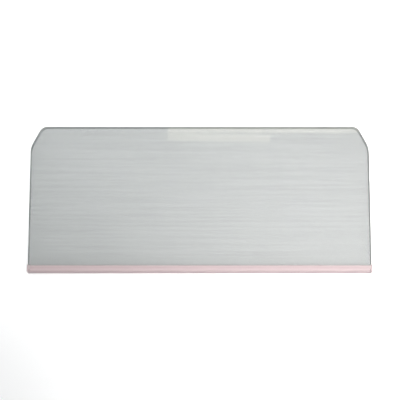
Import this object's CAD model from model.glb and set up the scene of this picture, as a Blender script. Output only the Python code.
"""The looks of a hinged glass negative carrier: two sheets of glass in a pink plastic spine.

Lengths are in metres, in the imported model's own frame: X along the spine, +Y to the free rear edge, +Z up.
The setting comes first. Each section after it makes one piece, or one group of like pieces.
"""

import math

import bpy
import numpy as np
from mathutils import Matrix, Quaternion, Vector


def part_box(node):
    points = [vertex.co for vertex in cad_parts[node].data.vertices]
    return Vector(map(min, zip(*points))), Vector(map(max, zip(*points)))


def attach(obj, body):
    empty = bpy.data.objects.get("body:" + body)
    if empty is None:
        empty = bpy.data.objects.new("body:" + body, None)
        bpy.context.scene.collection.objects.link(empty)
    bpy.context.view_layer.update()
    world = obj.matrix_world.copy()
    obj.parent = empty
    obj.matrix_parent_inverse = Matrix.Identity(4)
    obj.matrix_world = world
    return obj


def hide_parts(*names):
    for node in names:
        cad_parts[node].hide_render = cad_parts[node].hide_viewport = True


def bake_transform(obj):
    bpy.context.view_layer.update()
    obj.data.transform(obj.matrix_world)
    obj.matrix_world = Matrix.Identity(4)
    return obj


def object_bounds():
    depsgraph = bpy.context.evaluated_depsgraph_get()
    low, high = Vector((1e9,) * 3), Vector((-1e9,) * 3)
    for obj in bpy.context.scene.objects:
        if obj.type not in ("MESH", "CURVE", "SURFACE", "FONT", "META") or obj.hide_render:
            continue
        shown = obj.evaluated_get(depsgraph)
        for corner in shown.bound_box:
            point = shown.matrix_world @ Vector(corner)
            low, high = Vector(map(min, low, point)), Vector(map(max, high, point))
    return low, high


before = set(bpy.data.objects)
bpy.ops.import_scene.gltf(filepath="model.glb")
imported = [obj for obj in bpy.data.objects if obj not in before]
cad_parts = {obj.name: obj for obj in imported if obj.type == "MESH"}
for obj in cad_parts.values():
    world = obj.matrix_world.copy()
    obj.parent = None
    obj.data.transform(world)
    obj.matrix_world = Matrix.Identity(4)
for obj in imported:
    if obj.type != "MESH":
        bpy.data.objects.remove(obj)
cad_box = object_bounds()


# --------------------------------------------------------------------------------------------------
# Camera: 1.1 m away with a long lens, almost straight above the closed carrier and a little towards its
# spine. It is part of the setting, not of the carrier.

CAMERA_DISTANCE = 1.10
CAMERA_ELEVATION = math.radians(77.3)
CAMERA_LENS = 140.1  # millimetres
CAMERA_SENSOR = 36.0  # millimetres
CAMERA_SIGHT = 100.0  # metres, as far as the camera sees
CAMERA_SHIFT = (0.0007, -0.001)

carrier_centre = (cad_box[0] + cad_box[1]) / 2
towards_camera = Vector((0, -math.cos(CAMERA_ELEVATION), math.sin(CAMERA_ELEVATION)))
camera_data = bpy.data.cameras.new("camera")
camera_data.lens = CAMERA_LENS
camera_data.sensor_width = CAMERA_SENSOR
camera_data.shift_x, camera_data.shift_y = CAMERA_SHIFT
camera_data.clip_end = CAMERA_SIGHT
camera = bpy.data.objects.new("camera", camera_data)
camera.location = carrier_centre + CAMERA_DISTANCE * towards_camera
camera.rotation_euler = towards_camera.to_track_quat("Z", "Y").to_euler()
bpy.context.scene.collection.objects.link(camera)
bpy.context.scene.camera = camera
bpy.context.scene.view_settings.view_transform = "Standard"


# --------------------------------------------------------------------------------------------------
# Floor: a plain table top in matt, nearly white paint, that the carrier lies on. It is part of the setting,
# not of the carrier.


class Wire:
    """An output socket in a material's node tree. Arithmetic with it adds the Math nodes."""

    def __init__(self, tree, socket=None):
        self.tree = tree
        self.socket = socket

    def node(self, kind, settings=None, sockets=None, outlet=0):
        """Adds a node of that kind, with its settings, then the values or wires of its sockets."""
        made = self.tree.nodes.new("ShaderNode" + kind)
        for name, value in (settings or {}).items():
            setattr(made, name, value)
        for name, value in (sockets or {}).items():
            if isinstance(value, Wire):
                self.tree.links.new(value.socket, made.inputs[name])
            else:
                made.inputs[name].default_value = value
        return Wire(self.tree, made.outputs[outlet] if made.outputs else None)

    def maths(self, operation, first, second):
        return self.node("Math", {"operation": operation}, {0: first, 1: second})

    def __add__(self, other):
        return self.maths("ADD", self, other)

    def __radd__(self, other):
        return self.maths("ADD", other, self)

    def __mul__(self, other):
        return self.maths("MULTIPLY", self, other)

    def __rmul__(self, other):
        return self.maths("MULTIPLY", other, self)

    def __pow__(self, other):
        return self.maths("POWER", self, other)

    def __rpow__(self, other):
        return self.maths("POWER", other, self)


def start_material(name):
    """A new material with an empty node tree, and a wire to add its nodes with."""
    material = bpy.data.materials.new(name)
    material.use_nodes = True
    material.node_tree.nodes.clear()
    return material, Wire(material.node_tree)


def noise(wire, scale, detail=2.0, stretch=(1, 1, 1)):
    """Noise from 0 to 1 in the piece's own coordinates, stretched by the factors given."""
    place = wire.node("TexCoord", outlet="Object")
    spread = wire.node("Mapping", sockets={"Vector": place, "Scale": [1 / s for s in stretch]})
    return wire.node("TexNoise", sockets={"Vector": spread, "Scale": scale, "Detail": detail})


def colour_mix(wire, factor, first, second):
    """A colour between two colours. A Mix node has its colours in inputs 6 and 7 and in output 2."""
    sockets = {0: factor, 6: first, 7: second}
    return wire.node("Mix", {"data_type": "RGBA"}, sockets, outlet=2)


def shader_mix(wire, factor, first, second):
    """A surface between two surfaces."""
    return wire.node("MixShader", sockets={0: factor, 1: first, 2: second})


def make_mesh(name, points, faces, materials):
    """An object at the origin with the mesh of these points and faces."""
    mesh = bpy.data.meshes.new(name)
    mesh.from_pydata(np.asarray(points, float).tolist(), [], [list(f) for f in faces])
    for material in materials:
        mesh.materials.append(material)
    mesh.update()
    piece = bpy.data.objects.new(name, mesh)
    bpy.context.scene.collection.objects.link(piece)
    return piece


FLOOR_HALF = 6.0
FLOOR_DROP = 0.00002  # below the rails, so that the two faces don't flicker

floor_paint, wire = start_material("floor_paint")
grain = noise(wire, scale=9.0)
paint = colour_mix(wire, grain, (0.94, 0.94, 0.94, 1), (0.96, 0.96, 0.96, 1))
matt = {"Base Color": paint, "Roughness": 0.8, "Specular IOR Level": 0.2}
wire.node("OutputMaterial", sockets={"Surface": wire.node("BsdfPrincipled", sockets=matt)})

corner_ways = ((-1, -1), (1, -1), (1, 1), (-1, 1))
floor_corners = [(x * FLOOR_HALF, y * FLOOR_HALF, -FLOOR_DROP) for x, y in corner_ways]
floor = make_mesh("floor", floor_corners, [(0, 1, 2, 3)], [floor_paint])


# --------------------------------------------------------------------------------------------------
# Light: a plain white room, a soft box with a grid over the carrier's right front corner, two narrow ones
# over its left half, and a weak fill from the left. Two warm tube lamps, high up beyond the rear edge, are
# mirrored by the glass as a cream patch.

ROOM_LIGHT = 0.70

room = bpy.data.worlds.new("room")
room.use_nodes = True
room.node_tree.nodes["Background"].inputs["Color"].default_value = (0.97, 0.99, 1.0, 1)
room.node_tree.nodes["Background"].inputs["Strength"].default_value = ROOM_LIGHT
bpy.context.scene.world = room


def soft_light(name, place, aim, size, watts, colour=(1, 1, 1), spread=180, turn=0.0):
    """A rectangular soft light at a place, aimed at a point and turned about its aim, in degrees.

    The camera sees only its light and its mirror image.
    """
    light = bpy.data.lights.new(name, "AREA")
    light.shape = "RECTANGLE"
    light.size, light.size_y = size
    light.energy = watts
    light.color = colour
    light.spread = math.radians(spread)
    lamp = bpy.data.objects.new(name, light)
    lamp.location = place
    facing_aim = (Vector(place) - Vector(aim)).to_track_quat("Z", "Y")
    lamp.rotation_euler = (facing_aim @ Quaternion((0, 0, 1), math.radians(turn))).to_euler()
    lamp.visible_camera = False
    bpy.context.scene.collection.objects.link(lamp)


ROSY = (1.0, 0.965, 0.952)
WARM = (1.0, 0.95, 0.70)

soft_light("front_box", (0.13, -0.14, 0.70), (0.14, -0.04, 0), (0.30, 0.30), 0.54, ROSY, spread=44)
soft_light("strip_box", (-0.08, -0.06, 0.60), (-0.08, 0.13, 0), (0.35, 0.06), 0.120, spread=44)
soft_light("left_spot", (-0.15, -0.02, 0.60), (-0.16, 0.12, 0), (0.20, 0.06), 0.085, spread=46)
soft_light("left_fill", (-0.40, -0.25, 0.45), (-0.10, 0, 0), (0.30, 0.25), 0.30)
soft_light("long_tube", (0.1095, 0.5285, 1.5), (0.1095, 0.5285, 0), (0.328, 0.150), 0.26, WARM)
soft_light("short_tube", (0.033, 0.4447, 1.5), (0.033, 0.4447, 0), (0.175, 0.0123), 0.0085, WARM, turn=-1.0)


# --------------------------------------------------------------------------------------------------
# Lower glass: a plain sheet of float glass that the film lies on. Its edge is ground straight with a narrow
# arris, and its two rear corners are cut off so that the carrier finds its way into the enlarger.

CORNER_CUT = (0.0081, 0.0150)  # of a rear corner, along X and along Y
FRONT_CORNER_RADIUS = 0.0010
SIDE_CORNER_RADIUS = 0.0160
REAR_CORNER_RADIUS = 0.0060
ARRIS = 0.00035
ARRIS_SWAY = ((0.12, 23, 0.0), (0.08, 57, 1.3))  # share of the arris, waves round the sheet, their start


def rounded_outline(corners, arc_steps, side_steps):
    """A closed outline through the corners, each (across, up, radius), and the way out of it at each point.

    Each corner is an arc tangent to both its sides: its centre is the radius over the sine of half the
    corner's angle away from the corner, along the line that halves it, and the arc runs between the two
    sides' normals. The corners run anticlockwise. In a hollow corner the arc's centre is outside, so its
    points are turned round.
    """
    corners = np.array(corners, float)
    here, radius = corners[:, :2], corners[:, 2:]
    before = np.roll(here, 1, 0) - here
    after = np.roll(here, -1, 0) - here
    before /= np.linalg.norm(before, axis=1, keepdims=True)
    after /= np.linalg.norm(after, axis=1, keepdims=True)
    halving = (before + after) / np.linalg.norm(before + after, axis=1, keepdims=True)
    sine = halving[:, 1:] * after[:, :1] - halving[:, :1] * after[:, 1:]
    centre = here + halving * radius / np.abs(sine)
    first = np.arctan2(before[:, 0], -before[:, 1])
    last = np.arctan2(-after[:, 0], after[:, 1])
    turn = (last - first + np.pi) % (2 * np.pi) - np.pi
    angle = first[:, None] + turn[:, None] * np.linspace(0, 1, arc_steps)
    out = np.stack([np.cos(angle), np.sin(angle)], axis=2)
    arc = centre[:, None] + (np.sign(sine) * radius)[:, None] * out
    step = np.linspace(0, 1, side_steps)[1:-1, None]
    side = arc[:, -1][:, None] * (1 - step) + np.roll(arc[:, 0], -1, 0)[:, None] * step
    side_out = np.repeat(out[:, -1][:, None], side_steps - 2, axis=1)
    points = np.concatenate([arc, side], axis=1).reshape(-1, 2)
    ways = np.concatenate([out, side_out], axis=1).reshape(-1, 2)
    return points, ways


def glass_sheet(name, node, materials):
    """A sheet as rings round its outline: flat face, arris, ground edge, arris, flat face.

    A ring is the outline moved in by the ring's inset, at the ring's height. The arris is ground by hand, so
    its inset swells and shrinks by a few hundredths of a millimetre round the sheet. The materials are those
    of the edge, the underside and the top.
    """
    low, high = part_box(node)
    right = [
        (high[0], low[1], FRONT_CORNER_RADIUS),
        (high[0], high[1] - CORNER_CUT[1], SIDE_CORNER_RADIUS),
        (high[0] - CORNER_CUT[0], high[1], REAR_CORNER_RADIUS),
    ]
    left = [(-x, y, radius) for x, y, radius in reversed(right)]
    points, ways = rounded_outline(right + left, arc_steps=16, side_steps=60)
    around = np.arange(len(points)) / len(points) * 2 * np.pi
    sway = 1 + sum(share * np.sin(waves * around + start) for share, waves, start in ARRIS_SWAY)
    insets = np.array([ARRIS, 0, 0, ARRIS])
    heights = np.array([low[2], low[2] + ARRIS, high[2] - ARRIS, high[2]])
    flat = points[None] - (insets[:, None] * sway[None])[..., None] * ways[None]
    tall = np.broadcast_to(heights[:, None, None], flat.shape[:2] + (1,))
    rings = np.concatenate([flat, tall], axis=2).reshape(-1, 3)
    count = len(points)
    here = np.arange(count)
    nxt = (here + 1) % count
    walls = [np.stack([here, nxt, nxt + count, here + count], axis=1) + r * count for r in range(3)]
    faces = np.concatenate(walls).tolist()
    faces += [here[::-1].tolist(), (here + 3 * count).tolist()]
    piece = make_mesh(name, rings, faces, materials)
    slots = np.zeros(len(faces), np.int32)
    slots[-2:] = (1, 2)
    piece.data.polygons.foreach_set("material_index", slots)
    piece.data.shade_smooth()
    piece.data.set_sharp_from_angle(angle=math.radians(25))
    return piece


MIRRORED_HEAD_ON = 0.04  # share of the light that glass mirrors when it is seen head on


def mirror_share(wire):
    """Schlick's rule: the head-on share, plus the rest of the light times the slant to the fifth power."""
    slant = wire.node("LayerWeight", sockets={"Blend": 0.5}, outlet="Facing")
    return MIRRORED_HEAD_ON + (1 - MIRRORED_HEAD_ON) * slant**5


GLASS_TINT = (0.8995, 0.904, 0.9035, 1)  # of the light that passes through one face

polished_face, wire = start_material("polished_glass")
clear = wire.node("BsdfTransparent", sockets={"Color": GLASS_TINT})
mirror = wire.node("BsdfAnisotropic", sockets={"Color": (1, 1, 1, 1), "Roughness": 0.02})
wire.node("OutputMaterial", sockets={"Surface": shader_mix(wire, mirror_share(wire), clear, mirror)})

# A ground edge looks frosted from the side. Seen along its surface, from above, it is a dark line.
ground_edge, wire = start_material("ground_glass_edge")
tooth = noise(wire, scale=900.0, detail=3.0)
frost = colour_mix(wire, tooth, (0.36, 0.39, 0.38, 1), (0.50, 0.535, 0.525, 1))
frosted = wire.node("BsdfPrincipled", sockets={"Base Color": frost, "Roughness": 0.6, "Alpha": 0.8})
along = wire.node("BsdfTransparent", sockets={"Color": (0.17, 0.173, 0.172, 1)})
slant = wire.node("LayerWeight", sockets={"Blend": 0.5}, outlet="Facing")
along_share = wire.node("MapRange", sockets={"Value": slant, "From Min": 0.15, "From Max": 0.45})
wire.node("OutputMaterial", sockets={"Surface": shader_mix(wire, along_share, frosted, along)})

lower_glass = glass_sheet("lower_glass_sheet", "lower_glass", [ground_edge, polished_face, polished_face])
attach(lower_glass, "lower_leaf")
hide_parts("lower_glass")


# --------------------------------------------------------------------------------------------------
# Upper glass: the anti-Newton sheet. Its underside is finely etched, so that no rings of colour form where
# it meets the film, and that gives the sheet its faint streaks and its slightly milky tone.

STREAK_TINT = 0.965  # in a streak, of the light that passes elsewhere
LEAST_MILK = 0.05  # share of the etched face that scatters light
CLOUDY_MILK = 0.04  # added to that share where the etching is cloudy

etched_face, wire = start_material("etched_glass")
clear = wire.node("BsdfTransparent", sockets={"Color": GLASS_TINT})
streak_colour = [STREAK_TINT * channel for channel in GLASS_TINT[:3]] + [1]
hazy = wire.node("BsdfTransparent", sockets={"Color": streak_colour})
lines = noise(wire, scale=600.0, detail=2.0, stretch=(60, 1, 1))
streaks = wire.node("MapRange", sockets={"Value": lines, "From Min": 0.4, "From Max": 0.6})
streaky = shader_mix(wire, streaks, clear, hazy)
sheen = wire.node("BsdfAnisotropic", sockets={"Color": (1, 1, 1, 1), "Roughness": 0.5})
bright = shader_mix(wire, mirror_share(wire), streaky, sheen)
milk = wire.node("BsdfDiffuse", sockets={"Color": (0.50, 0.54, 0.54, 1)})
milk_share = LEAST_MILK + CLOUDY_MILK * noise(wire, scale=60.0, detail=4.0)
wire.node("OutputMaterial", sockets={"Surface": shader_mix(wire, milk_share, bright, milk)})

upper_glass = glass_sheet("upper_glass_sheet", "upper_glass", [ground_edge, etched_face, polished_face])
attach(upper_glass, "upper_leaf")
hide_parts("upper_glass")


# --------------------------------------------------------------------------------------------------
# Rails: two L sections of extruded pink PVC with a satin skin, one for each leaf. The flange is taped to the
# glass, the wall stands in front of it, and a shallow groove runs along the flange.

WALL = 0.0013
FLANGE = 0.0009
RAIL_FRONT_RADIUS = 0.0005
RAIL_REAR_RADIUS = 0.00035
RAIL_EDGE_RADIUS = 0.0001
END_SEAM = 0.00035  # between the rail's end and the end cap
GROOVE_INSET = 0.0017  # from the flange's rear edge
GROOVE_HALF_WIDTH = 0.00028
GROOVE_DEPTH = 0.00028
GROOVE_RADIUS = GROOVE_DEPTH / 2
CLOUD_SHARE = 0.7  # of a plastic's change of tone; the die's lines make the rest
CLOUDY_ROUGHNESS = 0.16  # added where a plastic's skin is cloudy


def rail_corners(low, high):
    """The lower rail's section, seen from its right-hand end: its corners, with the radii of their arcs."""
    front, rear, bottom, top = low[1], high[1], low[2], high[2]
    groove = rear - GROOVE_INSET
    return [
        (front, bottom, RAIL_FRONT_RADIUS),
        (groove - GROOVE_HALF_WIDTH, bottom, GROOVE_RADIUS),
        (groove, bottom + GROOVE_DEPTH, GROOVE_RADIUS),
        (groove + GROOVE_HALF_WIDTH, bottom, GROOVE_RADIUS),
        (rear, bottom, RAIL_REAR_RADIUS),
        (rear, bottom + FLANGE, RAIL_EDGE_RADIUS),
        (front + WALL, bottom + FLANGE, RAIL_EDGE_RADIUS / 2),
        (front + WALL, top, RAIL_EDGE_RADIUS),
        (front, top, RAIL_EDGE_RADIUS),
    ]


def extruded(name, corners, ends, materials, side_steps=2):
    """A straight extrusion along X: the rounded section at each end, with walls and two flat end faces."""
    section, _ = rounded_outline(corners, arc_steps=7, side_steps=side_steps)
    count = len(section)
    across = np.repeat(np.array(ends, float), count)[:, None]
    points = np.concatenate([across, np.tile(section, (2, 1))], axis=1)
    here = np.arange(count)
    nxt = (here + 1) % count
    faces = np.stack([here, nxt, nxt + count, here + count], axis=1).tolist()
    faces += [here[::-1].tolist(), (here + count).tolist()]
    piece = make_mesh(name, points, faces, materials)
    piece.data.shade_smooth()
    piece.data.set_sharp_from_angle(angle=math.radians(35))
    return piece


def satin_plastic(name, dark, light, roughness, line_bump):
    """Satin PVC: a cloudy tone, faint lines along X from the die, and a finely dimpled skin."""
    material, wire = start_material(name)
    cloud = noise(wire, scale=55.0, detail=4.0, stretch=(4, 1, 1))
    lines = noise(wire, scale=2500.0, detail=1.0, stretch=(400, 1, 1))
    skin = noise(wire, scale=3500.0, detail=2.0)
    tone = colour_mix(wire, CLOUD_SHARE * cloud + (1 - CLOUD_SHARE) * lines, dark, light)
    relief = line_bump * lines + (1 - line_bump) * skin
    bump = wire.node("Bump", sockets={"Strength": 0.25, "Distance": 0.00005, "Height": relief})
    sockets = {"Base Color": tone, "Roughness": roughness + CLOUDY_ROUGHNESS * cloud, "Normal": bump}
    wire.node("OutputMaterial", sockets={"Surface": wire.node("BsdfPrincipled", sockets=sockets)})
    return material


rail_skin = satin_plastic("pink_pvc", (0.385, 0.302, 0.307, 1), (0.43, 0.35, 0.357, 1), 0.46, 0.7)

lower_low, lower_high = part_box("lower_rail")
lower_corners = rail_corners(lower_low, lower_high)
rail_ends = (lower_low[0] + END_SEAM, lower_high[0] - END_SEAM)
lower_rail = extruded("lower_rail_extrusion", lower_corners, rail_ends, [rail_skin])
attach(lower_rail, "lower_leaf")
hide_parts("lower_rail")

_, upper_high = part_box("upper_rail")
film_plane = (lower_low[2] + upper_high[2]) / 2
upper_corners = [(y, 2 * film_plane - z, radius) for y, z, radius in reversed(lower_corners)]
upper_rail = extruded("upper_rail_extrusion", upper_corners, rail_ends, [rail_skin])
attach(upper_rail, "upper_leaf")
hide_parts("upper_rail")


# --------------------------------------------------------------------------------------------------
# End caps: four moulded corner shoes in a harder, glossier plastic, nearly the same pink as the rails. Each
# is pushed on to a sheet's front corner and closes the end of its rail.


def finish_nodes(nodes, material):
    """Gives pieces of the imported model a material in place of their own."""
    for node in nodes:
        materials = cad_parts[node].data.materials
        materials.clear()
        materials.append(material)


cap_dark = (0.385, 0.305, 0.31, 1)
cap_light = (0.43, 0.352, 0.359, 1)
cap_skin = satin_plastic("moulded_pink_plastic", cap_dark, cap_light, 0.36, 0.0)
finish_nodes(("lower_right_end_cap", "lower_left_end_cap"), cap_skin)
finish_nodes(("upper_right_end_cap", "upper_left_end_cap"), cap_skin)


# --------------------------------------------------------------------------------------------------
# Hinge strip: one length of soft pink vinyl, welded to the front faces of both rails. It is the hinge: the
# bead along its middle is its fold, and it bends there as the carrier opens.

STRIP_EDGE_RADIUS = 0.0002
STRIP_REAR_RADIUS = 0.00004
BEAD_RADIUS = 0.00033
BEAD_FOOT_RADIUS = 0.00010  # where the bead rises from the strip's face

strip_low, bead_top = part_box("hinge_strip_lower_half")
flap_low, strip_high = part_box("hinge_strip_upper_half")
rear = strip_high[1]
face = flap_low[1]
bead = strip_low[1]
bead_high = bead_top[2]
bead_low = 2 * film_plane - bead_high
strip_corners = [
    (face, strip_low[2], STRIP_EDGE_RADIUS),
    (rear, strip_low[2], STRIP_REAR_RADIUS),
    (rear, strip_high[2], STRIP_REAR_RADIUS),
    (face, strip_high[2], STRIP_EDGE_RADIUS),
    (face, bead_high, BEAD_FOOT_RADIUS),
    (bead, bead_high, BEAD_RADIUS),
    (bead, bead_low, BEAD_RADIUS),
    (face, bead_low, BEAD_FOOT_RADIUS),
]
vinyl_dark = (0.355, 0.282, 0.290, 1)
vinyl_light = (0.402, 0.327, 0.335, 1)
vinyl = satin_plastic("soft_pink_vinyl", vinyl_dark, vinyl_light, 0.46, 0.4)
strip = extruded("hinge_strip", strip_corners, rail_ends, [vinyl], side_steps=24)
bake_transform(strip)
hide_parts("hinge_strip_lower_half", "hinge_strip_upper_half")


# --------------------------------------------------------------------------------------------------
# Bonding tapes: thin double-sided tape, milky and slightly mottled, one strip to each leaf. It lies between
# the sheet and the rail's flange and holds them together.

tape_film, wire = start_material("bonding_tape")
mottle = noise(wire, scale=700.0, detail=3.0)
milky = colour_mix(wire, mottle, (0.66, 0.66, 0.62, 1), (0.80, 0.80, 0.77, 1))
see_through = {"Base Color": milky, "Roughness": 0.35, "Alpha": 0.75}
wire.node("OutputMaterial", sockets={"Surface": wire.node("BsdfPrincipled", sockets=see_through)})
finish_nodes(("lower_bonding_tape", "upper_bonding_tape"), tape_film)
